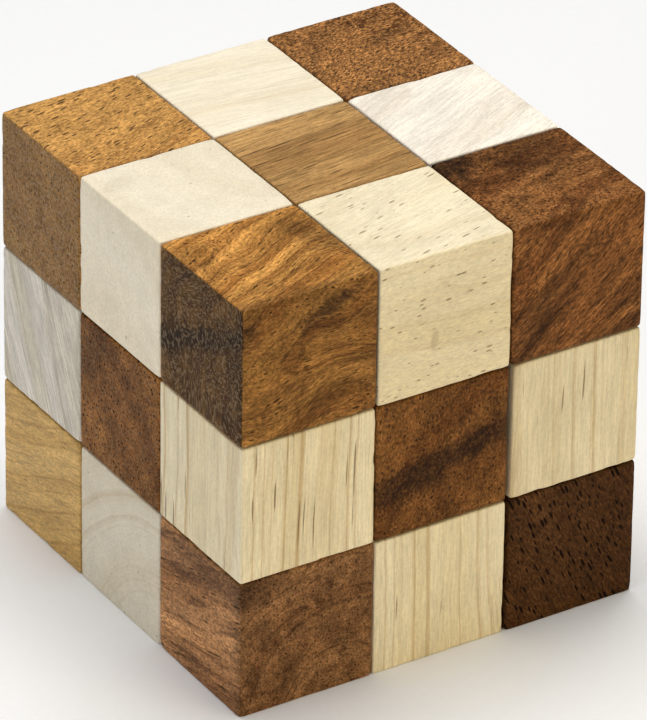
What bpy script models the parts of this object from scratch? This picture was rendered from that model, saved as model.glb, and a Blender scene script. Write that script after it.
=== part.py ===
"""Twisty snake cube: 27 drilled wooden blocks threaded on one elastic cord, folded into a 3 x 3 x 3 cube.

Metres, +Z up. The origin is at the middle of the cube's base. The +x and +y faces hold the cord's two knots.
"""

import math

import bmesh
import bpy
from mathutils import Matrix, Vector

# Driving dimensions
PITCH = 0.0200  # from one block's centre to the next
GAP = 0.0003  # between neighbouring blocks
EDGE_RADIUS = 0.0005
EDGE_SEGMENTS = 2
BORE_RADIUS = 0.0020
BORE_SIDES = 24
ELBOW_OVERRUN = 0.0012  # how far a blind bore runs past the middle of its block
RECESS_RADIUS = 0.0029
RECESS_DEPTH = 0.0050
CORD_RADIUS = 0.0011
CORD_ARC_STEPS = 2  # extra points on each quarter of the cord's round section
KNOT_RADIUS = 0.0024
KNOT_LENGTH = 0.0042
KNOT_INSET = 0.0002  # from the outer face to the knot's end
KNOT_STEPS = 8  # along the knot's profile
KNOT_SIDES = 16  # around it
KNOT_WELD = 0.00001  # joins the points of the knot's profile that lie on its axis
CUT_OVERRUN = 0.0010  # how far a cutter stands out of the wood

BLOCK = PITCH - GAP
HALF_CORD_GAP = GAP / 2

# The cord's route: each layer's blocks as (column, row), from the bottom layer up
LAYERS = (
    ((2, 0), (1, 0), (0, 0), (0, 1), (1, 1), (2, 1), (2, 2), (1, 2), (0, 2)),
    ((0, 2), (1, 2), (2, 2), (2, 1), (1, 1), (0, 1), (0, 0), (1, 0), (2, 0)),
    ((2, 0), (2, 1), (2, 2), (1, 2), (1, 1), (1, 0), (0, 0), (0, 1), (0, 2)),
)
CELLS = [(x, y, z) for z, layer in enumerate(LAYERS) for x, y in layer]

DARK_WOOD = ("dark_wood", (0.150, 0.058, 0.024), 0.42, 0.0)
LIGHT_WOOD = ("light_wood", (0.620, 0.450, 0.270), 0.50, 0.0)
CORD = ("elastic_cord", (0.020, 0.020, 0.022), 0.80, 0.0)


def centre_of(cell):
    """World place of a block's middle, with the cube standing on z = 0."""
    x, y, z = cell
    return Vector(((x - 1) * PITCH, (y - 1) * PITCH, BLOCK / 2 + z * PITCH))


def new_collection(name):
    collection = bpy.data.collections.new(name)
    bpy.context.scene.collection.children.link(collection)
    return collection


def new_material(name, colour, roughness, metallic):
    material = bpy.data.materials.new(name)
    material.use_nodes = True
    shader = material.node_tree.nodes["Principled BSDF"]
    shader.inputs["Base Color"].default_value = (*colour, 1.0)
    shader.inputs["Roughness"].default_value = roughness
    shader.inputs["Metallic"].default_value = metallic
    return material


def new_object(name, data, collection, place=(0.0, 0.0, 0.0)):
    made = bpy.data.objects.new(name, data)
    made.location = place
    collection.objects.link(made)
    return made


def pointing(direction):
    """Rotation that turns +Z to the direction."""
    return Vector(direction).to_track_quat("Z", "Y").to_matrix().to_4x4()


def rod_cutter(name, collection, start, end, radius):
    """A cylinder from start to end, both in world space, that only cuts."""
    mesh = bpy.data.meshes.new(name)
    shape = bmesh.new()
    length = (end - start).length
    bmesh.ops.create_cone(
        shape, cap_ends=True, segments=BORE_SIDES, radius1=radius, radius2=radius, depth=length,
        matrix=pointing(end - start) @ Matrix.Rotation(math.pi / BORE_SIDES, 4, "Z"),
    )
    shape.to_mesh(mesh)
    shape.free()
    cutter = new_object(name, mesh, collection, (start + end) / 2)
    cutter.hide_render = True
    cutter.display_type = "WIRE"
    return cutter


def wooden_block(name, cell, material, collection):
    """A cube with softly rounded edges, whose origin is its middle."""
    mesh = bpy.data.meshes.new(name)
    shape = bmesh.new()
    bmesh.ops.create_cube(shape, size=BLOCK)
    shape.to_mesh(mesh)
    shape.free()
    mesh.materials.append(material)
    block = new_object(name, mesh, collection, centre_of(cell))
    edges = block.modifiers.new("rounded_edges", "BEVEL")
    edges.width = EDGE_RADIUS
    edges.segments = EDGE_SEGMENTS
    return block


def bores_of(number):
    """(start, end, radius) of each hole drilled in the block with this number, counted from 1."""
    here = centre_of(CELLS[number - 1])
    before = Vector(CELLS[number - 1]) - Vector(CELLS[number - 2]) if number > 1 else None
    after = Vector(CELLS[number]) - Vector(CELLS[number - 1]) if number < len(CELLS) else None
    reach = BLOCK / 2 + CUT_OVERRUN
    if before is None or after is None:
        outward = before if after is None else -after
        recess = (here + outward * (BLOCK / 2 - RECESS_DEPTH), here + outward * reach, RECESS_RADIUS)
        return [(here - outward * reach, here + outward * reach, BORE_RADIUS), recess]
    if before == after:
        return [(here - before * reach, here + before * reach, BORE_RADIUS)]
    return [
        (here - before * reach, here + before * ELBOW_OVERRUN, BORE_RADIUS),
        (here - after * ELBOW_OVERRUN, here + after * reach, BORE_RADIUS),
    ]


def drill(block, number, cutters):
    for index, (start, end, radius) in enumerate(bores_of(number), 1):
        hole = block.modifiers.new(f"bore_{index}", "BOOLEAN")
        hole.operation = "DIFFERENCE"
        hole.solver = "EXACT"
        hole.object = rod_cutter(f"bore_{number:02d}_{index}", cutters, start, end, radius)


def setback_at(number):
    """How far from a block's middle the cord's stretch ends: short of the other stretch where they turn."""
    if number in (1, len(CELLS)):
        return HALF_CORD_GAP
    before = Vector(CELLS[number - 1]) - Vector(CELLS[number - 2])
    after = Vector(CELLS[number]) - Vector(CELLS[number - 1])
    return HALF_CORD_GAP if before == after else CORD_RADIUS + HALF_CORD_GAP


def plain_cord(name, start, end, material, collection):
    """A straight stretch of cord, whose origin is its start."""
    curve = bpy.data.curves.new(name, "CURVE")
    curve.dimensions = "3D"
    curve.bevel_depth = CORD_RADIUS
    curve.bevel_resolution = CORD_ARC_STEPS
    curve.use_fill_caps = True
    line = curve.splines.new("POLY")
    line.points.add(1)
    line.points[1].co = (*(end - start), 1.0)
    curve.materials.append(material)
    return new_object(name, curve, collection, start)


def knotted_end(number, neighbour, material, collection):
    """The cord's end in an end block: from the block's middle out to the knot, turned along its own +Z."""
    name = f"cord_knot_{number:02d}"
    middle = centre_of(CELLS[number - 1])
    knot_end = BLOCK / 2 - KNOT_INSET
    knot_middle = knot_end - KNOT_LENGTH / 2
    profile = [(0.0, knot_end)]
    for step in range(1, KNOT_STEPS):
        turn = math.pi * step / KNOT_STEPS
        radius = KNOT_RADIUS * math.sin(turn)
        if turn < math.pi / 2 or radius > CORD_RADIUS:
            profile.append((radius, knot_middle + KNOT_LENGTH / 2 * math.cos(turn)))
    profile.append((CORD_RADIUS, knot_middle - KNOT_LENGTH / 2))
    profile.append((CORD_RADIUS, HALF_CORD_GAP))
    profile.append((0.0, HALF_CORD_GAP))
    mesh = bpy.data.meshes.new(name)
    shape = bmesh.new()
    corners = [shape.verts.new((radius, 0.0, height)) for radius, height in profile]
    for upper, lower in zip(corners, corners[1:]):
        shape.edges.new((upper, lower))
    shape.to_mesh(mesh)
    shape.free()
    mesh.materials.append(material)
    cord = new_object(name, mesh, collection, middle)
    cord.rotation_euler = pointing(middle - centre_of(CELLS[neighbour - 1])).to_euler()
    turned = cord.modifiers.new("turned", "SCREW")
    turned.steps = turned.render_steps = KNOT_SIDES
    turned.use_merge_vertices = True
    turned.merge_threshold = KNOT_WELD
    turned.use_smooth_shade = True
    return cord


def cord_stretch(link, material, collection):
    """The cord across one link, from the middle of a block to the middle of the next."""
    first, second = centre_of(CELLS[link - 1]), centre_of(CELLS[link])
    along = (second - first).normalized()
    start = first + along * setback_at(link)
    end = second - along * setback_at(link + 1)
    plain_cord(f"cord_span_{link:02d}", start, end, material, collection)


def main():
    for leftover in list(bpy.data.objects):
        bpy.data.objects.remove(leftover, do_unlink=True)
    parts = new_collection("twisty_snake_cube")
    cutters = new_collection("cutters")
    dark = new_material(*DARK_WOOD)
    light = new_material(*LIGHT_WOOD)
    elastic = new_material(*CORD)
    for number, cell in enumerate(CELLS, 1):
        is_dark = sum(cell) % 2 == 0
        name = f"{'dark' if is_dark else 'light'}_block_{number:02d}"
        block = wooden_block(name, cell, dark if is_dark else light, parts)
        drill(block, number, cutters)
    for link in range(1, len(CELLS)):
        cord_stretch(link, elastic, parts)
    knotted_end(1, 2, elastic, parts)
    knotted_end(len(CELLS), len(CELLS) - 1, elastic, parts)


main()
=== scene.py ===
"""Looks of the twisty snake cube: 27 wooden blocks on one elastic cord, folded into a 3 x 3 x 3 cube.

Every block is rebuilt from its CAD box as worn, slightly uneven wood with its drilled holes, and gets its own
procedural piece of timber. The cord's stretches are braided elastic, and its two ends are real knots.
"""

import math

import bmesh
import bpy
from mathutils import Matrix, Vector, noise


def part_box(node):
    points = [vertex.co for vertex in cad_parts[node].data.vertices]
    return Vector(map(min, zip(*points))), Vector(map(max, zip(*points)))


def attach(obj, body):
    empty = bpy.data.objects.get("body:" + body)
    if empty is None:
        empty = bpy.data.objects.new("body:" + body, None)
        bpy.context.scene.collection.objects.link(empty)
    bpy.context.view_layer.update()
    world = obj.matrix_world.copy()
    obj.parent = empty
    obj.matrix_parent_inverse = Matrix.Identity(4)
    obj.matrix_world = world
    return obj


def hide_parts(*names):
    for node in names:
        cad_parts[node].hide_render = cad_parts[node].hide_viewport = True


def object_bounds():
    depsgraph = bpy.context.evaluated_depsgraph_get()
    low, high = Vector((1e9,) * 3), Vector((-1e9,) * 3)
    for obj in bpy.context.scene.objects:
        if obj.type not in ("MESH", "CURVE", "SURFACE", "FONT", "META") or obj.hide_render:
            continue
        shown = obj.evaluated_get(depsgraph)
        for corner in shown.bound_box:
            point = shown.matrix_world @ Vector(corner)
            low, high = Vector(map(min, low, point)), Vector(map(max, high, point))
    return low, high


MM = 0.001

# ---------------------------------------------------------------- the object, as the CAD lays it out

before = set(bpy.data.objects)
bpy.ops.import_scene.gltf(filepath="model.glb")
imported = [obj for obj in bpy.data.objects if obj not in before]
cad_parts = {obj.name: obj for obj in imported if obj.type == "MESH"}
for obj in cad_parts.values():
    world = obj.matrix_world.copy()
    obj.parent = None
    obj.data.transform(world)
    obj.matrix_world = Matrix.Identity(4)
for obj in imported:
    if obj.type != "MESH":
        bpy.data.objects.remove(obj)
CAD_LOW, CAD_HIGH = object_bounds()

BLOCK_COUNT = 27
BORE_RADIUS = 2.0 * MM
BORE_SIDES = 40
ELBOW_OVERRUN = 1.2 * MM
RECESS_RADIUS = 2.9 * MM
RECESS_DEPTH = 5.0 * MM
CORD_RADIUS = 1.1 * MM


def block_node(number):
    """The CAD node of the block with this number, counted along the cord from 1."""
    return next(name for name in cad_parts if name.endswith(f"_block_{number:02d}"))


def box_of(node):
    low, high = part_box(node)
    return Vector(low), Vector(high)


def middle_of(number):
    low, high = box_of(block_node(number))
    return (low + high) / 2


MIDDLES = [middle_of(number) for number in range(1, BLOCK_COUNT + 1)]
SIDE = box_of(block_node(1))[1].x - box_of(block_node(1))[0].x
PITCH = (MIDDLES[1] - MIDDLES[0]).length


def cell_of(number):
    """Column, row and layer of a block in the cube, each 0 to 2 from the low side."""
    offset = MIDDLES[number - 1] - CAD_LOW
    return tuple(int(value / PITCH) for value in offset)


def way(first, second):
    """Unit vector from one block of the chain to another next to it."""
    return (MIDDLES[second - 1] - MIDDLES[first - 1]).normalized()


# ---------------------------------------------------------------- geometry of the blocks

FACE_CUTS = 22
EDGE_RADIUS = 0.30 * MM
SWOLLEN = 0.07 * MM  # how far a real block's faces stand outside its CAD box
CORNER_STEPS = 3
DRILL_OVERRUN = 1.0 * MM  # how far a drill stands out of the wood
SHARP_ANGLE = math.radians(35)

# Wear, as its depth and how many waves of its noise there are in a metre
HOLLOW_DEPTH, HOLLOW_WAVES = 0.035 * MM, 90
NICK_DEPTH, NICK_WAVES, NICK_FROM = 0.26 * MM, 420, 0.18
DENT_DEPTH, DENT_WAVES, DENT_FROM = 0.22 * MM, 1100, 0.30
BLUNT_DEPTH = 0.10 * MM
EDGE_FROM, CORNER_FROM = 0.90, 0.88  # where an edge and a corner begin, as a share of half the side

# How far apart neighbouring numbers lie in each noise pattern, so that no two blocks are alike
WEAR_STEPS = (7.31, 3.17, 5.53)
SHIFT_STEPS = (3.7, 1.9, 2.3)
TURN_STEPS = (1.3, 4.1, 0.7)
TIMBER_STEPS = (37.7, 29.1, 61.3)


def own_place(number, steps):
    """A block's own place in a noise pattern."""
    return Vector([number * step for step in steps])


def rounded_cube(side, radius):
    """A cube with evenly cut faces and rounded edges, as a bmesh about its middle."""
    shape = bmesh.new()
    bmesh.ops.create_cube(shape, size=side)
    bmesh.ops.bevel(
        shape, geom=list(shape.edges), offset=radius, segments=CORNER_STEPS, profile=0.5, affect="EDGES",
        clamp_overlap=True,
    )
    flat = [face for face in shape.faces if face.calc_area() > (side / 2) ** 2]
    rims = {edge for face in flat for edge in face.edges}
    long_edges = [edge for edge in shape.edges if edge.calc_length() > side / 2]
    bmesh.ops.subdivide_edges(shape, edges=list(rims | set(long_edges)), cuts=FACE_CUTS, use_grid_fill=True)
    return shape


def wear(point, seed, half):
    """Where a point of a fresh block goes after sanding and handling."""
    offset = own_place(seed, WEAR_STEPS)
    reach = sorted(abs(value) / half for value in point)
    near_edge = max(0.0, (reach[1] - EDGE_FROM) / (1 - EDGE_FROM))
    near_corner = max(0.0, (reach[0] - CORNER_FROM) / (1 - CORNER_FROM))
    hollow = noise.noise(point * HOLLOW_WAVES + offset) * HOLLOW_DEPTH
    nicks = max(0.0, noise.noise(point * NICK_WAVES + offset) - NICK_FROM) * NICK_DEPTH * near_edge
    dents = max(0.0, noise.noise(point * DENT_WAVES - offset) - DENT_FROM) * DENT_DEPTH * near_edge
    blunt = (1 + noise.noise(offset)) * BLUNT_DEPTH * near_corner ** 2
    inward = -point.normalized()
    return point + inward * (hollow + nicks + dents + blunt)


def drill_way(number):
    """(start, end, radius) of each hole in a block, about its middle."""
    reach = SIDE / 2 + DRILL_OVERRUN
    before = way(number - 1, number) if number > 1 else None
    after = way(number, number + 1) if number < BLOCK_COUNT else None
    if before is None or after is None:
        outward = before if after is None else -after
        return [
            (-outward * reach, outward * reach, BORE_RADIUS),
            (outward * (SIDE / 2 - RECESS_DEPTH), outward * reach, RECESS_RADIUS),
        ]
    if before.dot(after) > 0.5:
        return [(-before * reach, before * reach, BORE_RADIUS)]
    return [
        (-before * reach, before * ELBOW_OVERRUN, BORE_RADIUS),
        (-after * ELBOW_OVERRUN, after * reach, BORE_RADIUS),
    ]


def link(obj):
    bpy.context.scene.collection.objects.link(obj)
    return obj


def mesh_object(name, shape):
    mesh = bpy.data.meshes.new(name)
    shape.to_mesh(mesh)
    shape.free()
    return link(bpy.data.objects.new(name, mesh))


def rod(start, end, radius):
    """A drill bit's path, as an object that cuts and is then removed."""
    shape = bmesh.new()
    turn = (end - start).to_track_quat("Z", "Y").to_matrix().to_4x4()
    bmesh.ops.create_cone(
        shape, cap_ends=True, segments=BORE_SIDES, radius1=radius, radius2=radius,
        depth=(end - start).length, matrix=Matrix.Translation((start + end) / 2) @ turn,
    )
    return mesh_object("drill", shape)


def apply_modifiers(obj):
    graph = bpy.context.evaluated_depsgraph_get()
    baked = bpy.data.meshes.new_from_object(obj.evaluated_get(graph))
    obj.modifiers.clear()
    obj.data = baked


def drill(block, number):
    bits = [rod(*hole) for hole in drill_way(number)]
    for bit in bits:
        hole = block.modifiers.new("hole", "BOOLEAN")
        hole.operation = "DIFFERENCE"
        hole.solver = "EXACT"
        hole.object = bit
    apply_modifiers(block)
    for bit in bits:
        bpy.data.objects.remove(bit, do_unlink=True)


# How some blocks sit in their places: shift in mm and turn in degrees about x, y and z
SEATING = {
    (2, 0, 1): ((0.05, -0.05, 0.00), (0.0, 0.0, 0.0)),
    (2, 0, 0): ((0.05, 0.00, 0.00), (0.0, 0.0, 0.0)),
    (1, 0, 1): ((-0.03, 0.03, 0.00), (0.0, -0.1, 0.0)),
    (2, 0, 2): ((0.05, -0.05, 0.02), (0.05, 0.0, 0.0)),
}

STRAY = 0.05  # mm that the others may sit off their places, at most
SWAY = 0.10  # and degrees

# Blocks cut a little narrow on the side that faces -x: mm taken off at the bottom and at the top
NARROW = {(2, 0, 1): (0.34, 0.48), (2, 0, 0): (0.22, 0.30)}


def seating_of(number):
    """(shift, turn) of a block in its place."""
    stray = noise.noise_vector(own_place(number, SHIFT_STEPS)) * STRAY
    sway = noise.noise_vector(own_place(number, TURN_STEPS)) * SWAY
    return SEATING.get(cell_of(number), (stray, sway))


def narrowed(point, cell, half):
    """Where a point goes when its block is planed narrow: most at the side that faces -x, none at +x."""
    low, high = NARROW.get(cell, (0.0, 0.0))
    taken = low + (high - low) * (point.z / half + 1) / 2
    return point + Vector((taken * MM * (1 - point.x / half) / 2, 0, 0))


def wooden_block(number):
    node = block_node(number)
    side = SIDE + 2 * SWOLLEN
    shape = rounded_cube(side, EDGE_RADIUS)
    for vert in shape.verts:
        vert.co = narrowed(wear(vert.co, number, side / 2), cell_of(number), side / 2)
    block = mesh_object(f"wood_{number:02d}", shape)
    drill(block, number)
    block.data.shade_smooth()
    block.data.set_sharp_from_angle(angle=SHARP_ANGLE)
    shift, turn = seating_of(number)
    block.location = MIDDLES[number - 1] + Vector(shift) * MM
    block.rotation_euler = [math.radians(value) for value in turn]
    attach(block, f"block_{number:02d}")
    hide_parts(node)
    return block


# ---------------------------------------------------------------- node helpers


class Nodes:
    """Builds a material's nodes with short calls. Most calls return the socket that they make."""

    def __init__(self, name):
        self.material = bpy.data.materials.new(name)
        self.material.use_nodes = True
        self.tree = self.material.node_tree
        self.shader = self.tree.nodes["Principled BSDF"]

    def feed(self, socket, value):
        if isinstance(value, bpy.types.NodeSocket):
            self.tree.links.new(value, socket)
        elif value is not None:
            socket.default_value = value

    def node(self, kind, inputs=(), **settings):
        made = self.tree.nodes.new(kind)
        for key, value in settings.items():
            setattr(made, key, value)
        pairs = inputs.items() if isinstance(inputs, dict) else enumerate(inputs)
        for key, value in pairs:
            self.feed(made.inputs[key], value)
        return made

    def math(self, operation, first, second=None, third=None):
        return self.node("ShaderNodeMath", (first, second, third), operation=operation).outputs[0]

    def vector(self, operation, first, second=None):
        made = self.node("ShaderNodeVectorMath", (first, second), operation=operation)
        return made.outputs["Value" if operation in ("DOT_PRODUCT", "LENGTH") else "Vector"]

    def scaled(self, vector, factors):
        return self.vector("MULTIPLY", vector, factors)

    def ramp(self, value, low, high):
        """0 at low and 1 at high, smooth between. Low may be the larger."""
        made = self.node("ShaderNodeMapRange", {"Value": value}, interpolation_type="SMOOTHSTEP")
        made.inputs["From Min"].default_value = low
        made.inputs["From Max"].default_value = high
        return made.outputs["Result"]

    def noise(self, vector, detail=2.0, roughness=0.5, output="Fac"):
        made = self.node("ShaderNodeTexNoise", {
            "Vector": vector, "Scale": 1.0, "Detail": detail, "Roughness": roughness,
        })
        return made.outputs[output]

    def patches(self, vector, waves, low, high, detail=2.0, roughness=0.5):
        """Patches from 0 to 1, with so many waves of noise to a unit along each axis."""
        return self.ramp(self.noise(self.scaled(vector, waves), detail, roughness), low, high)

    def noise_along(self, value, scale, detail=2.0, roughness=0.5):
        made = self.node("ShaderNodeTexNoise", {
            "W": value, "Scale": scale, "Detail": detail, "Roughness": roughness,
        }, noise_dimensions="1D")
        return made.outputs["Fac"]

    def mix(self, share, first, second, blend="MIX"):
        made = self.node("ShaderNodeMix", data_type="RGBA", blend_type=blend)
        self.feed(made.inputs[0], share)
        for socket, value in zip((made.inputs[6], made.inputs[7]), (first, second)):
            self.feed(socket, (*value, 1.0) if isinstance(value, tuple) else value)
        return made.outputs[2]

    def swing(self, value, amount, middle=1.0):
        """From the amount under the middle, where the value is 0, to the amount over it, where it is 1."""
        return self.math("MULTIPLY_ADD", value, 2 * amount, middle - amount)

    def darken(self, colour, shade):
        """The colour times a shade."""
        grey = self.node("ShaderNodeCombineColor", (shade, shade, shade)).outputs[0]
        return self.mix(1.0, colour, grey, blend="MULTIPLY")


# ---------------------------------------------------------------- timber

# Kinds of timber, in linear colour. pale, middle and deep: its wood. ink: its pores and stains, and the
# painted shade on some front faces. line, streak, halo and pore: how strongly its growth lines, the strands
# along the grain, the pale flecks round the pores and the pores show. pebble, fibre and cloud: how much fine,
# thin and broad patches vary it.
# end: how much darker its end grain is. spacing and bore: the pores', in mm. rough: its roughness
TIMBERS = {
    "golden": dict(
        pale=(0.54, 0.285, 0.082), middle=(0.40, 0.190, 0.050), deep=(0.19, 0.075, 0.018),
        ink=(0.060, 0.026, 0.010), line=0.35, streak=0.45, halo=0.45, pebble=0.3, spacing=0.58, bore=0.1,
        pore=0.7, fibre=0.22, end=0.35, cloud=0.16, rough=0.42,
    ),
    "figured": dict(
        pale=(0.44, 0.215, 0.055), middle=(0.240, 0.098, 0.022), deep=(0.085, 0.030, 0.008),
        ink=(0.026, 0.012, 0.006), line=0.60, streak=0.75, halo=0.15, pebble=0.36, spacing=0.52, bore=0.1,
        pore=0.85, fibre=0.3, end=0.35, cloud=0.3, rough=0.40,
    ),
    "chestnut": dict(
        pale=(0.40, 0.175, 0.048), middle=(0.190, 0.070, 0.017), deep=(0.085, 0.028, 0.008),
        ink=(0.022, 0.010, 0.006), line=0.40, streak=0.55, halo=0.6, pebble=0.42, spacing=0.62, bore=0.125,
        pore=0.8, fibre=0.24, end=0.25, cloud=0.24, rough=0.42,
    ),
    "walnut": dict(
        pale=(0.30, 0.150, 0.062), middle=(0.160, 0.072, 0.026), deep=(0.070, 0.028, 0.010),
        ink=(0.020, 0.010, 0.006), line=0.45, streak=0.60, halo=0.15, pebble=0.42, spacing=0.6, bore=0.11,
        pore=0.75, fibre=0.28, end=0.25, cloud=0.28, rough=0.42,
    ),
    "umber": dict(
        pale=(0.120, 0.052, 0.018), middle=(0.066, 0.027, 0.008), deep=(0.042, 0.015, 0.004),
        ink=(0.006, 0.003, 0.002), line=0.30, streak=0.35, halo=0.55, pebble=0.46, spacing=0.56, bore=0.155,
        pore=0.95, fibre=0.24, end=0.10, cloud=0.16, rough=0.46,
    ),
    "tan": dict(
        pale=(0.64, 0.415, 0.150), middle=(0.55, 0.340, 0.110), deep=(0.35, 0.190, 0.055),
        ink=(0.180, 0.095, 0.030), line=0.45, streak=0.40, halo=0.0, pebble=0.18, spacing=0.80, bore=0.07,
        pore=0.55, fibre=0.2, end=0.15, cloud=0.1, rough=0.46,
    ),
    "cream": dict(
        pale=(0.90, 0.820, 0.660), middle=(0.84, 0.745, 0.565), deep=(0.66, 0.520, 0.330),
        ink=(0.26, 0.190, 0.115), line=0.25, streak=0.14, halo=0.0, pebble=0.05, spacing=1.50, bore=0.1,
        pore=0.60, fibre=0.07, end=0.10, cloud=0.035, rough=0.48,
    ),
    "straw": dict(
        pale=(0.87, 0.775, 0.560), middle=(0.80, 0.685, 0.450), deep=(0.56, 0.385, 0.185),
        ink=(0.23, 0.150, 0.075), line=0.60, streak=0.20, halo=0.0, pebble=0.06, spacing=1.20, bore=0.09,
        pore=0.75, fibre=0.1, end=0.10, cloud=0.05, rough=0.50,
    ),
    "ash": dict(
        pale=(0.86, 0.800, 0.700), middle=(0.79, 0.720, 0.605), deep=(0.57, 0.485, 0.370),
        ink=(0.24, 0.185, 0.125), line=0.40, streak=0.22, halo=0.0, pebble=0.08, spacing=1.20, bore=0.085,
        pore=0.60, fibre=0.13, end=0.10, cloud=0.08, rough=0.54,
    ),
}

# What a block's cut sets besides, where it isn't as usual. ring: mm between growth rings. wave: how far its
# grain wanders, in mm, and swell: over what length. dash: a pore's width over its length. shade: how light
# it is. rub: how dark its edges are. shine: its specular level. fleck: how strong its end grain's rays are
USUAL = dict(ring=2.2, wave=2.4, swell=20.0, dash=0.08, shade=1.0, rub=0.08, shine=0.12, fleck=0.0, stains_and_shade=())
EVERYWHERE = 200.0  # mm, as a dark patch's radius: further than any block reaches
FRONT_SHADE = (0, -11, 0), (EVERYWHERE, 3.0, EVERYWHERE), (0, 0, 0)  # a dark patch's place that covers the whole -y face: painted shade that darkens a block's front face
RAY = (0.36, 0.25, 0.145)  # colour of the rays in dark end grain
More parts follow.
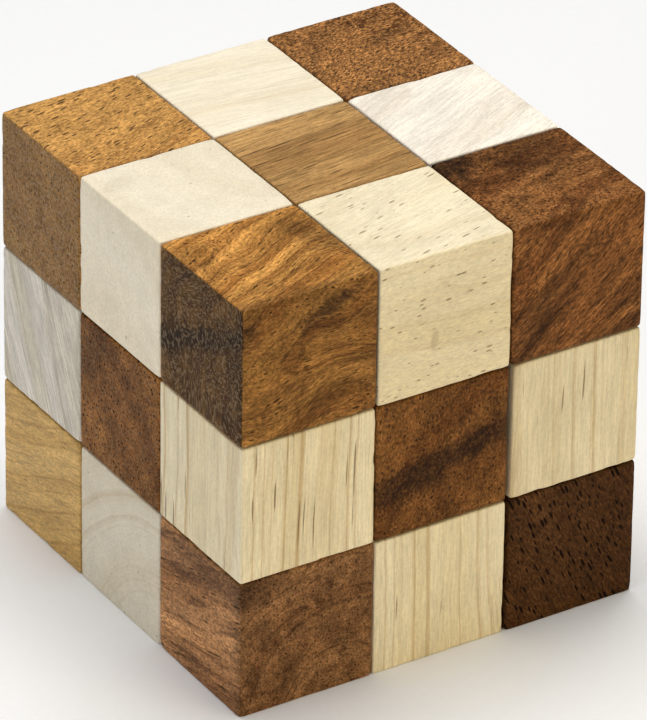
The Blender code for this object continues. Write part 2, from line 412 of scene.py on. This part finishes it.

# How each block in view was cut, by column, row and layer. grain: which way its fibres run. heart: the tree's
# middle, in mm across the grain from the block's middle. Dark patches: (middle and radii in mm, turn in
# degrees, strength), stains in the wood and, over a whole -y face, painted shade. Any value of its kind of
# timber can be set again here
CUTS = {
    # Its shade is raised to lighten its top, and its strong end-grain darkening keeps the left face dark:
    # painted light on the top and painted shade on the left face, over real end grain
    (0, 0, 2): dict(
        kind="figured", grain=(1, 0.22, 0.16), heart=(3, -19), ring=1.2, wave=6.0, swell=15.0, dash=0.16,
        end=0.82, line=0.75, streak=0.60, shade=1.30, shine=0.05, bore=0.10, halo=0.20, pebble=0.42,
        fleck=0.36,
        stains_and_shade=(
            ((-11, 0, 1.0), (4.0, EVERYWHERE, 2.1), (-25, 0, 0), 0.80),
            ((8, 2, 10), (3.0, 6.5, 2.0), (0, 0, 20), 0.55),
            # painted shade: the whole front face darker than the top
            (*FRONT_SHADE, 0.50),
            ((2, -10, 6.6), (7.5, 2.5, 1.5), (0, -20, 0), 0.75),
        ),
    ),
    (1, 0, 2): dict(
        kind="straw", grain=(0.96, 0.26, 0.08), heart=(22, 9), ring=3.4, dash=0.17, line=0.18, streak=0.12,
        spacing=0.66, bore=0.100, pore=0.75, wave=1.4,
        stains_and_shade=(((-1.6, -10, -2.6), (0.7, 2.0, 2.0), (0, 8, 0), 0.28),),
    ),
    (2, 0, 2): dict(
        kind="figured", grain=(0.78, 0.14, 0.60), heart=(4, -24), ring=2.4, wave=3.0, swell=16.0, dash=0.12,
        line=0.35, streak=0.80, shade=0.64, shine=0.05, pebble=0.52, pale=(0.42, 0.180, 0.055),
        middle=(0.225, 0.082, 0.024),
        stains_and_shade=(
            ((-9, 9, 9.6), (6.0, 6.5, 5.0), (0, 0, 0), 0.95),
            ((3, 6, 9.6), (7.0, 8.0, 3.0), (0, 0, 20), 0.45),
            ((-8, -10, -7), (3.0, 3.0, 9.0), (0, 35, 0), 0.45),
        ),
    ),
    (0, 1, 2): dict(
        kind="cream", grain=(0.60, 0.16, 0.78), heart=(16, 6), ring=2.6, dash=0.12, line=0.08, wave=2.0,
        spacing=1.7,
        stains_and_shade=(((-6, 6, 9.8), (4.0, 2.0, 1.5), (0, 0, 20), 0.16),),
    ),
    (1, 1, 2): dict(
        kind="golden", grain=(1, 0.10, 0.04), heart=(30, 26), ring=1.3, dash=0.05, line=0.40, streak=0.30,
        halo=0.1, pebble=0.14, fibre=0.34, wave=1.0, shade=0.98, pale=(0.49, 0.285, 0.105),
        middle=(0.37, 0.200, 0.068), deep=(0.20, 0.095, 0.028),
    ),
    (2, 1, 2): dict(
        kind="ash", grain=(0.90, 0.42, 0.05), heart=(18, 20), ring=2.4, dash=0.06, line=0.30, wave=2.2,
        shade=1.06,
    ),
    (0, 2, 2): dict(
        kind="golden", grain=(0.96, 0.26, 0.14), heart=(11, 16), ring=2.6, dash=0.22, halo=0.80, line=0.30,
        wave=2.5, shade=1.04, end=0.50, bore=0.125, pore=0.85, pebble=0.44, fleck=0.50,
    ),
    (1, 2, 2): dict(
        kind="cream", grain=(1, -0.06, 0.03), heart=(28, 20), ring=1.6, dash=0.05, line=0.35, wave=0.8,
    ),
    (2, 2, 2): dict(
        kind="chestnut", grain=(0.85, 0.25, 0.45), heart=(14, 15), ring=3.2, dash=0.30, halo=1.0,
        pebble=0.72, wave=2.5, shade=0.64, fibre=0.30, bore=0.14, pale=(0.50, 0.225, 0.068),
    ),
    (0, 0, 1): dict(
        kind="straw", grain=(0.02, 0.03, 1), heart=(15, -13), ring=2.3, dash=0.03, line=0.80, wave=0.9,
        streak=0.30, spacing=0.80, bore=0.115, pore=0.85,
    ),
    (1, 0, 1): dict(
        kind="chestnut", grain=(0.16, 0.60, 0.78), heart=(12, 7), ring=2.8, dash=0.24, halo=0.25, shade=0.61,
        wave=1.6, shine=0.05,
        stains_and_shade=(
            ((0, -10, -0.8), (EVERYWHERE, EVERYWHERE, 2.5), (0, -12, 0), 0.80),
            ((-3, -10, -3.8), (7.0, 8.0, 1.6), (0, -8, 0), 0.45),
        ),
    ),
    (2, 0, 1): dict(
        kind="straw", grain=(0.03, 0.02, 1), heart=(-17, 13), ring=3.0, dash=0.03, line=0.75, wave=0.7,
        spacing=1.0, pore=0.8, bore=0.10, shade=0.93,
    ),
    (0, 1, 1): dict(
        kind="chestnut", grain=(0.90, 0.22, 0.34), heart=(6, 17), ring=3.0, dash=0.35, halo=0.20, pore=0.95,
        bore=0.135, wave=2.0, end=0.20, shade=0.86, shine=0.05, pebble=0.5, fleck=0.22,
        stains_and_shade=(((-10, 6, 7), (8.0, 3.0, 8.0), (28, 0, 0), 0.50),),
    ),
    (0, 2, 1): dict(
        kind="ash", grain=(0.05, 0.40, 0.92), heart=(16, -12), ring=1.9, dash=0.05, line=0.50, fibre=0.16,
        streak=0.35, wave=1.3, shade=0.80, middle=(0.79, 0.710, 0.560), deep=(0.50, 0.420, 0.300),
    ),
    (0, 0, 0): dict(
        kind="walnut", grain=(0.10, 0.97, -0.20), heart=(7, 13), ring=2.0, dash=0.06, line=0.70, streak=0.85,
        shade=1.72, wave=2.2, shine=0.06, pebble=0.5,
        # the second patch is painted shade: the whole front face darker than the left face
        stains_and_shade=(((-10, 0, 7.4), (8.0, EVERYWHERE, 3.4), (-6, 0, 0), 0.45), (*FRONT_SHADE, 0.32)),
    ),
    (1, 0, 0): dict(
        kind="straw", grain=(0.01, 0.04, 1), heart=(12, -16), ring=2.1, dash=0.03, line=0.70, wave=0.7,
        spacing=1.6, pore=0.7,
    ),
    (2, 0, 0): dict(
        kind="umber", grain=(-0.42, 0.20, 0.88), heart=(15, 8), ring=2.6, dash=0.14, wave=0.8, shade=0.74,
        shine=0.03,
    ),
    (0, 1, 0): dict(
        kind="cream", grain=(0.95, 0.12, 0.28), heart=(14, -8), ring=6.5, dash=0.25, line=0.55, wave=1.6,
        shade=0.90, spacing=1.5,
    ),
    (0, 2, 0): dict(
        kind="tan", grain=(0.10, 0.97, -0.24), heart=(13, 16), ring=1.7, dash=0.05, line=0.60, wave=1.5,
    ),
}
UNSEEN_DARK = ("chestnut", "walnut", "golden", "figured")
UNSEEN_LIGHT = ("cream", "straw", "ash")


def cut_of(number):
    """How a block was cut, with everything that its kind of timber sets and the block doesn't."""
    cell = cell_of(number)
    kinds = UNSEEN_DARK if sum(cell) % 2 == 0 else UNSEEN_LIGHT
    grain = [0.10, 0.12, 0.08]
    grain[number % 3] = 1.0
    heart = (8 + number % 9, 15 - number % 7)
    unseen = dict(kind=kinds[number % len(kinds)], grain=tuple(grain), heart=heart)
    cut = CUTS.get(cell, unseen)
    return {**USUAL, **TIMBERS[cut["kind"]], **cut}


# Waves of noise to a millimetre, across the grain both ways and along it
FIBRE_WAVES = (3.6, 3.6, 0.16)
STREAK_WAVES = (0.75, 0.75, 0.035)
CLOUD_WAVES = (0.30, 0.30, 0.09)
PEBBLE_WAVES = (3.2, 3.2, 1.5)
RAY_WAVES = (2.3, 2.3, 0.8)
RAGGED_WAVES = (0.9, 0.9, 0.4)
RUB_WAVES = (0.8, 0.8, 0.8)


def in_millimetres(nodes, place):
    return nodes.scaled(place, (1 / MM, 1 / MM, 1 / MM))


def wood_in(nodes, number, place, cut):
    """(wood, heart): the place in a block's timber, in mm with its grain along z, and the tree's middle."""
    start = own_place(number, TIMBER_STEPS)
    turn = Vector(cut["grain"]).normalized().rotation_difference(Vector((0, 0, 1))).to_euler()
    wood = nodes.node("ShaderNodeMapping", {
        "Vector": place, "Location": start, "Rotation": tuple(turn), "Scale": (1 / MM, 1 / MM, 1 / MM),
    }).outputs[0]
    swell = 1 / cut["swell"]
    wander = nodes.noise(nodes.scaled(wood, (swell, swell, swell * 0.8)), detail=1.5, output="Color")
    wander = nodes.vector("SUBTRACT", wander, (0.5, 0.5, 0.5))
    wander = nodes.scaled(wander, (2 * cut["wave"], 2 * cut["wave"], 0.0))
    heart = (start.x + cut["heart"][0], start.y + cut["heart"][1], 0.0)
    return nodes.vector("ADD", wood, wander), heart


def rings_in(nodes, wood, heart, cut):
    """(broad, lines): the slow change from ring to ring, and the thin lines, both round the heart."""
    across = nodes.scaled(nodes.vector("SUBTRACT", wood, heart), (1.0, 1.0, 0.0))
    rings = nodes.math("DIVIDE", nodes.vector("LENGTH", across), cut["ring"])
    broad = nodes.noise_along(rings, 0.45, detail=1.0)
    return broad, nodes.noise_along(rings, 1.9, detail=4.0, roughness=0.65)


def pores_in(nodes, wood, cut):
    """(pore, halo): dots on the end grain, dashes along the sides, each in its own cell of wood."""
    across = 1 / cut["spacing"]
    stretched = nodes.scaled(wood, (across, across, cut["dash"] * across))
    cells = nodes.node("ShaderNodeTexVoronoi", {"Vector": stretched, "Scale": 1.0, "Randomness": 1.0})
    luck = nodes.node("ShaderNodeSeparateColor", (cells.outputs["Color"],)).outputs[0]
    size = nodes.math("MULTIPLY_ADD", luck, 1.1 * cut["bore"] * across, 0.4 * cut["bore"] * across)
    inside = nodes.math("DIVIDE", cells.outputs["Distance"], size)
    return nodes.ramp(inside, 1.25, 0.65), nodes.ramp(inside, 4.2, 1.2)


def features_in(nodes, wood, normal, cut):
    """What shows in the wood, each from 0 to 1."""
    grain = tuple(Vector(cut["grain"]).normalized())
    pore, halo = pores_in(nodes, wood, cut)
    facing = nodes.math("ABSOLUTE", nodes.vector("DOT_PRODUCT", normal, grain))
    return dict(
        fibre=nodes.patches(wood, FIBRE_WAVES, 0.30, 0.70, detail=3.0, roughness=0.7),
        cloud=nodes.patches(wood, CLOUD_WAVES, 0.28, 0.72, detail=3.0),
        pebble=nodes.patches(wood, PEBBLE_WAVES, 0.30, 0.70, roughness=0.8),
        ray=nodes.patches(wood, RAY_WAVES, 0.48, 0.62, detail=1.0, roughness=0.6),
        end=nodes.ramp(facing, 0.6, 1.0),
        pore=pore,
        halo=halo,
    )


# A dark patch's share: a stain in the wood, or painted shade where the patch covers a whole -y face
def dark_patch_in(nodes, place, ragged, dark_patch):
    middle, radii, turn, strength = dark_patch
    near = nodes.node("ShaderNodeMapping", {
        "Vector": in_millimetres(nodes, place), "Location": middle,
        "Rotation": tuple(math.radians(value) for value in turn), "Scale": radii,
    }, vector_type="TEXTURE").outputs[0]
    reach = nodes.math("ADD", nodes.vector("LENGTH", near), ragged)
    return nodes.math("MULTIPLY", nodes.ramp(reach, 1.15, 0.35), strength)


def grown_colour(nodes, wood, heart, place, cut):
    """The wood's colour from its rings, strands and stains, and the painted shade on some front faces."""
    broad, lines = rings_in(nodes, wood, heart, cut)
    streak = nodes.noise(nodes.scaled(wood, STREAK_WAVES), detail=3.0, roughness=0.6)
    line = nodes.math("MULTIPLY", nodes.ramp(lines, 0.50, 0.74), cut["line"])
    dark_strand = nodes.math("MULTIPLY", nodes.ramp(streak, 0.50, 0.72), cut["streak"])
    pale_strand = nodes.math("MULTIPLY", nodes.ramp(streak, 0.48, 0.28), cut["streak"])
    colour = nodes.mix(nodes.ramp(broad, 0.30, 0.70), cut["middle"], cut["pale"])
    colour = nodes.mix(line, colour, cut["deep"])
    colour = nodes.mix(dark_strand, colour, cut["deep"])
    colour = nodes.mix(pale_strand, colour, cut["pale"])
    ragged = nodes.swing(nodes.noise(nodes.scaled(wood, RAGGED_WAVES), detail=4.0), 0.55, 0.0)
    # dark patches: stains in the wood, and on some blocks painted shade over the whole front face
    for dark_patch in cut["stains_and_shade"]:
        colour = nodes.mix(dark_patch_in(nodes, place, ragged, dark_patch), colour, cut["ink"])
    return colour


def cut_colour(nodes, colour, seen, cut):
    """The colour with what shows where the saw opened the wood: flecks, fibres, end grain, rays and pores."""
    colour = nodes.mix(nodes.math("MULTIPLY", seen["halo"], cut["halo"]), colour, cut["pale"])
    shade = nodes.swing(seen["fibre"], cut["fibre"], cut["shade"])
    shade = nodes.math("MULTIPLY", shade, nodes.swing(seen["cloud"], cut["cloud"]))
    shade = nodes.math("MULTIPLY", shade, nodes.swing(seen["pebble"], cut["pebble"]))
    shade = nodes.math("MULTIPLY", shade, nodes.math("MULTIPLY_ADD", seen["end"], -cut["end"], 1.0))
    colour = nodes.darken(colour, shade)
    ray = nodes.math("MULTIPLY", seen["ray"], nodes.math("MULTIPLY", seen["end"], cut["fleck"]))
    colour = nodes.mix(ray, colour, RAY)
    return nodes.mix(nodes.math("MULTIPLY", seen["pore"], cut["pore"]), colour, cut["ink"])


def nearness_to_edge(nodes, place):
    """The second largest of a point's three distances from the block's middle planes, in metres."""
    x, y, z = nodes.node("ShaderNodeSeparateXYZ", (nodes.vector("ABSOLUTE", place),)).outputs
    larger = nodes.math("MAXIMUM", x, y)
    smaller = nodes.math("MINIMUM", x, y)
    return nodes.math("MAXIMUM", smaller, nodes.math("MINIMUM", larger, z))


def rubbed(nodes, colour, wood, place, cut):
    """The colour with the edges rubbed by hands, where dirt settles in patches."""
    patches = nodes.noise(nodes.scaled(wood, RUB_WAVES), detail=3.0)
    near = nodes.math("MULTIPLY_ADD", patches, 0.9 * MM, nearness_to_edge(nodes, place))
    edge = nodes.ramp(near, SIDE / 2, SIDE / 2 + 0.6 * MM)
    return nodes.mix(nodes.math("MULTIPLY", edge, cut["rub"]), colour, cut["deep"])


def wood_material(number):
    """One block's own piece of timber, whose pattern stays with the block."""
    cut = cut_of(number)
    nodes = Nodes(f"timber_{number:02d}")
    coordinates = nodes.node("ShaderNodeTexCoord").outputs
    place = coordinates["Object"]
    wood, heart = wood_in(nodes, number, place, cut)
    seen = features_in(nodes, wood, coordinates["Normal"], cut)
    colour = grown_colour(nodes, wood, heart, place, cut)
    colour = cut_colour(nodes, colour, seen, cut)
    nodes.feed(nodes.shader.inputs["Base Color"], rubbed(nodes, colour, wood, place, cut))

    rough = nodes.math("MULTIPLY_ADD", seen["fibre"], 0.16, cut["rough"] - 0.05)
    rough = nodes.math("MULTIPLY_ADD", seen["end"], 0.10, rough)
    rough = nodes.math("MULTIPLY_ADD", seen["pore"], 0.25, rough)
    nodes.feed(nodes.shader.inputs["Roughness"], rough)
    nodes.shader.inputs["Specular IOR Level"].default_value = cut["shine"]
    height = nodes.math("MULTIPLY_ADD", seen["pore"], -1.0, nodes.math("MULTIPLY", seen["fibre"], 0.45))
    height = nodes.math("MULTIPLY_ADD", seen["pebble"], 0.25, height)
    bump = nodes.node("ShaderNodeBump", {"Strength": 0.6, "Distance": 0.08 * MM, "Height": height})
    nodes.feed(nodes.shader.inputs["Normal"], bump.outputs[0])
    return nodes.material


# ---------------------------------------------------------------- cord

CORD_TONE = (0.030, 0.029, 0.030)
FUZZ_TONE = (0.085, 0.082, 0.080)
FUZZ_WAVES = (6000.0, 6000.0, 6000.0)  # to a metre
CROSSING = 0.35 * MM  # from one crossing of the braid to the next
BRAID_DIP = 0.96  # the cord's thickness between two crossings, as a share of that at one
TAUT_DIP = 0.94  # the same on a straight stretch
CUT_END = 0.93  # and at a stretch's ends
CORD_SIDES = 20
CUT_ANGLE = math.radians(50)  # the cord's cut ends stay sharp


def braided(radius, count, dip):
    """The cord's radius at each of its points."""
    return [radius * (dip if index % 2 else 1.0) for index in range(count)]


def cord_material():
    nodes = Nodes("braided_elastic")
    place = nodes.node("ShaderNodeTexCoord").outputs["Object"]
    fuzz = nodes.noise(nodes.scaled(place, FUZZ_WAVES))
    colour = nodes.mix(nodes.math("MULTIPLY", fuzz, 0.5), CORD_TONE, FUZZ_TONE)
    nodes.feed(nodes.shader.inputs["Base Color"], colour)
    nodes.feed(nodes.shader.inputs["Roughness"], nodes.math("MULTIPLY_ADD", fuzz, 0.2, 0.62))
    height = nodes.math("MULTIPLY", fuzz, 0.3)
    bump = nodes.node("ShaderNodeBump", {"Strength": 0.4, "Distance": 0.08 * MM, "Height": height})
    nodes.feed(nodes.shader.inputs["Normal"], bump.outputs[0])
    return nodes.material


def tube(name, points, radii):
    """A closed tube through points, with a radius at each, whose rings lie square to the path."""
    shape = bmesh.new()
    rings = []
    side = None
    for index, point in enumerate(points):
        ahead = points[min(index + 1, len(points) - 1)]
        behind = points[max(index - 1, 0)]
        along = (ahead - behind).normalized()
        if side is None:
            side = along.orthogonal().normalized()
        side = (side - along * side.dot(along)).normalized()
        other = along.cross(side)
        ring = []
        for step in range(CORD_SIDES):
            turn = 2 * math.pi * step / CORD_SIDES
            spot = point + (side * math.cos(turn) + other * math.sin(turn)) * radii[index]
            ring.append(shape.verts.new(spot))
        rings.append(ring)
    for ring, following in zip(rings, rings[1:]):
        for step in range(CORD_SIDES):
            after = (step + 1) % CORD_SIDES
            shape.faces.new((ring[step], ring[after], following[after], following[step]))
    shape.faces.new(list(reversed(rings[0])))
    shape.faces.new(rings[-1])
    bmesh.ops.recalc_face_normals(shape, faces=list(shape.faces))
    made = mesh_object(name, shape)
    made.data.shade_smooth()
    made.data.set_sharp_from_angle(angle=CUT_ANGLE)
    return made


def cord_piece(name, node, body, material):
    """A straight braided stretch that fills its CAD node's box."""
    low, high = box_of(node)
    size = high - low
    axis = max(range(3), key=lambda index: size[index])
    middle = (low + high) / 2
    start, end = middle.copy(), middle.copy()
    start[axis], end[axis] = low[axis], high[axis]
    steps = int((end - start).length / CROSSING)
    points = [start.lerp(end, index / steps) for index in range(steps + 1)]
    braid = braided(CORD_RADIUS, steps + 1, TAUT_DIP)
    braid[0] = braid[-1] = CORD_RADIUS * CUT_END
    return finish_cord(tube(name, points, braid), node, body, material)


KNOT_CORD = 0.66 * MM  # the cord's radius where it is pulled tight in its knot
KNOT_TURNS = 0.50 * MM  # size of the knot's loops
KNOT_DEPTH = 0.80 * MM
KNOT_STEPS = 96
KNOT_SET_BACK = 1.9 * MM  # from the cord's end to the knot's middle
STEM_STEPS = 16
TAIL_START = Vector((0.9, 0.3, 0.4)) * MM  # from the knot's middle, with z outwards
TAIL_TIP = Vector((0.5, -0.4, 1.65)) * MM
TAIL_STEPS = 6
TAIL_TAPER = [0.60 * MM, 0.42 * MM]  # radii at its last two points


def knotted_end(number, outward, material):
    """The cord out of the block's bore, a knot that can't slip back through it, and a short cut tail."""
    low, high = box_of(f"cord_knot_{number:02d}")
    middle = (low + high) / 2
    reach = abs((high - low).dot(outward)) / 2
    knot = middle + outward * (reach - KNOT_SET_BACK)
    root = middle - outward * reach
    path = [root.lerp(knot, index / STEM_STEPS) for index in range(STEM_STEPS + 1)]
    stem = tube(f"elastic_end_{number:02d}", path, braided(CORD_RADIUS, STEM_STEPS + 1, BRAID_DIP))
    turn = outward.to_track_quat("Z", "Y")
    loops = []
    for step in range(KNOT_STEPS + 1):
        angle = 2 * math.pi * step / KNOT_STEPS
        across = math.sin(angle) + 2 * math.sin(2 * angle)
        upward = math.cos(angle) - 2 * math.cos(2 * angle)
        rise = Vector((0, 0, -math.sin(3 * angle) * KNOT_DEPTH))
        loops.append(knot + turn @ (Vector((across, upward, 0)) * KNOT_TURNS + rise))
    knotted = tube("knot", loops, braided(KNOT_CORD, KNOT_STEPS + 1, BRAID_DIP))
    start, tip = knot + turn @ TAIL_START, knot + turn @ TAIL_TIP
    path = [start.lerp(tip, index / TAIL_STEPS) for index in range(TAIL_STEPS + 1)]
    tail = tube("tail", path, [KNOT_CORD] * (TAIL_STEPS - 1) + TAIL_TAPER)
    join([stem, knotted, tail])
    return finish_cord(stem, f"cord_knot_{number:02d}", f"block_{number:02d}", material)


def join(pieces):
    """Puts the meshes of the later pieces into the first."""
    shape = bmesh.new()
    for piece in pieces:
        shape.from_mesh(piece.data)
    shape.to_mesh(pieces[0].data)
    shape.free()
    for piece in pieces[1:]:
        bpy.data.objects.remove(piece, do_unlink=True)


def finish_cord(piece, node, body, material):
    piece.data.materials.append(material)
    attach(piece, body)
    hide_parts(node)
    return piece


def cord_pieces():
    """Each stretch of cord stays in the bore of the block after it, and the knots in their own blocks."""
    material = cord_material()
    for number in range(1, BLOCK_COUNT):
        cord_piece(f"elastic_{number:02d}", f"cord_span_{number:02d}", f"block_{number + 1:02d}", material)
    knotted_end(1, way(2, 1), material)
    knotted_end(BLOCK_COUNT, way(BLOCK_COUNT - 1, BLOCK_COUNT), material)


# ---------------------------------------------------------------- stage

FLOOR_HALF = 3.0
PAPER_TONES = ((0.91, 0.925, 0.95), (0.935, 0.95, 0.975))
TOOTH_WAVES = (900.0, 900.0, 900.0)  # to a metre

# The lamps, each a square panel that faces the cube's middle, in metres and watts
LAMPS = {
    "overhead": dict(place=(0.05, 0.10, 0.80), size=0.55, power=6.1, colour=(1.0, 0.99, 0.975)),
    "front": dict(place=(0.30, -0.70, 0.18), size=0.40, power=2.1, colour=(1.0, 0.80, 0.40)),
    "side": dict(place=(-0.80, -0.10, 0.20), size=0.50, power=1.75, colour=(1.0, 0.99, 0.97)),
}
ROOM_LIGHT = 0.12


def stage():
    shape = bmesh.new()
    bmesh.ops.create_grid(shape, x_segments=1, y_segments=1, size=FLOOR_HALF)
    floor = mesh_object("floor", shape)
    nodes = Nodes("floor_paper")
    place = nodes.node("ShaderNodeTexCoord").outputs["Object"]
    tooth = nodes.noise(nodes.scaled(place, TOOTH_WAVES))
    nodes.feed(nodes.shader.inputs["Base Color"], nodes.mix(tooth, *PAPER_TONES))
    nodes.shader.inputs["Roughness"].default_value = 0.8
    floor.data.materials.append(nodes.material)


def lamp(name, place, size, power, colour):
    light = bpy.data.lights.new(name, "AREA")
    light.shape = "SQUARE"
    light.size = size
    light.energy = power
    light.color = colour
    panel = link(bpy.data.objects.new(name, light))
    panel.location = place
    panel.rotation_euler = ((CAD_LOW + CAD_HIGH) / 2 - Vector(place)).to_track_quat("-Z", "Y").to_euler()


def lights():
    for name, settings in LAMPS.items():
        lamp(name, **settings)
    world = bpy.data.worlds.new("studio")
    bpy.context.scene.world = world
    world.use_nodes = True
    world.node_tree.nodes["Background"].inputs[0].default_value = (1.0, 1.0, 1.0, 1.0)
    world.node_tree.nodes["Background"].inputs[1].default_value = ROOM_LIGHT
    bpy.context.scene.view_settings.view_transform = "Standard"


VIEW_AZIMUTH = math.radians(32.29)  # from +Y towards +X, the way that the camera looks
VIEW_DROP = math.radians(30.56)
VIEW_ROLL = math.radians(0.83)
VIEW_DISTANCE = 0.9856
VIEW_SHIFT = (0.73 * MM, -0.99 * MM)
FOCAL_LENGTH = 379.7  # mm, on a sensor of this width
SENSOR = 36.0
NEAREST, FURTHEST = 0.05, 20.0  # m that the camera sees


def camera():
    data = bpy.data.cameras.new("camera")
    data.lens = FOCAL_LENGTH
    data.sensor_width = SENSOR
    data.clip_start, data.clip_end = NEAREST, FURTHEST
    level = math.cos(VIEW_DROP)
    look = Vector((math.sin(VIEW_AZIMUTH) * level, math.cos(VIEW_AZIMUTH) * level, -math.sin(VIEW_DROP)))
    right = look.cross(Vector((0, 0, 1))).normalized()
    up = right.cross(look)
    middle = (CAD_LOW + CAD_HIGH) / 2
    place = middle - look * VIEW_DISTANCE + right * VIEW_SHIFT[0] + up * VIEW_SHIFT[1]
    rolled = Matrix((right, up, -look)).transposed().to_4x4() @ Matrix.Rotation(VIEW_ROLL, 4, "Z")
    lens = link(bpy.data.objects.new("camera", data))
    lens.matrix_world = Matrix.Translation(place) @ rolled
    bpy.context.scene.camera = lens


def main():
    camera()
    for number in range(1, BLOCK_COUNT + 1):
        wooden_block(number).data.materials.append(wood_material(number))
    cord_pieces()
    stage()
    lights()
    bpy.context.view_layer.update()


main()
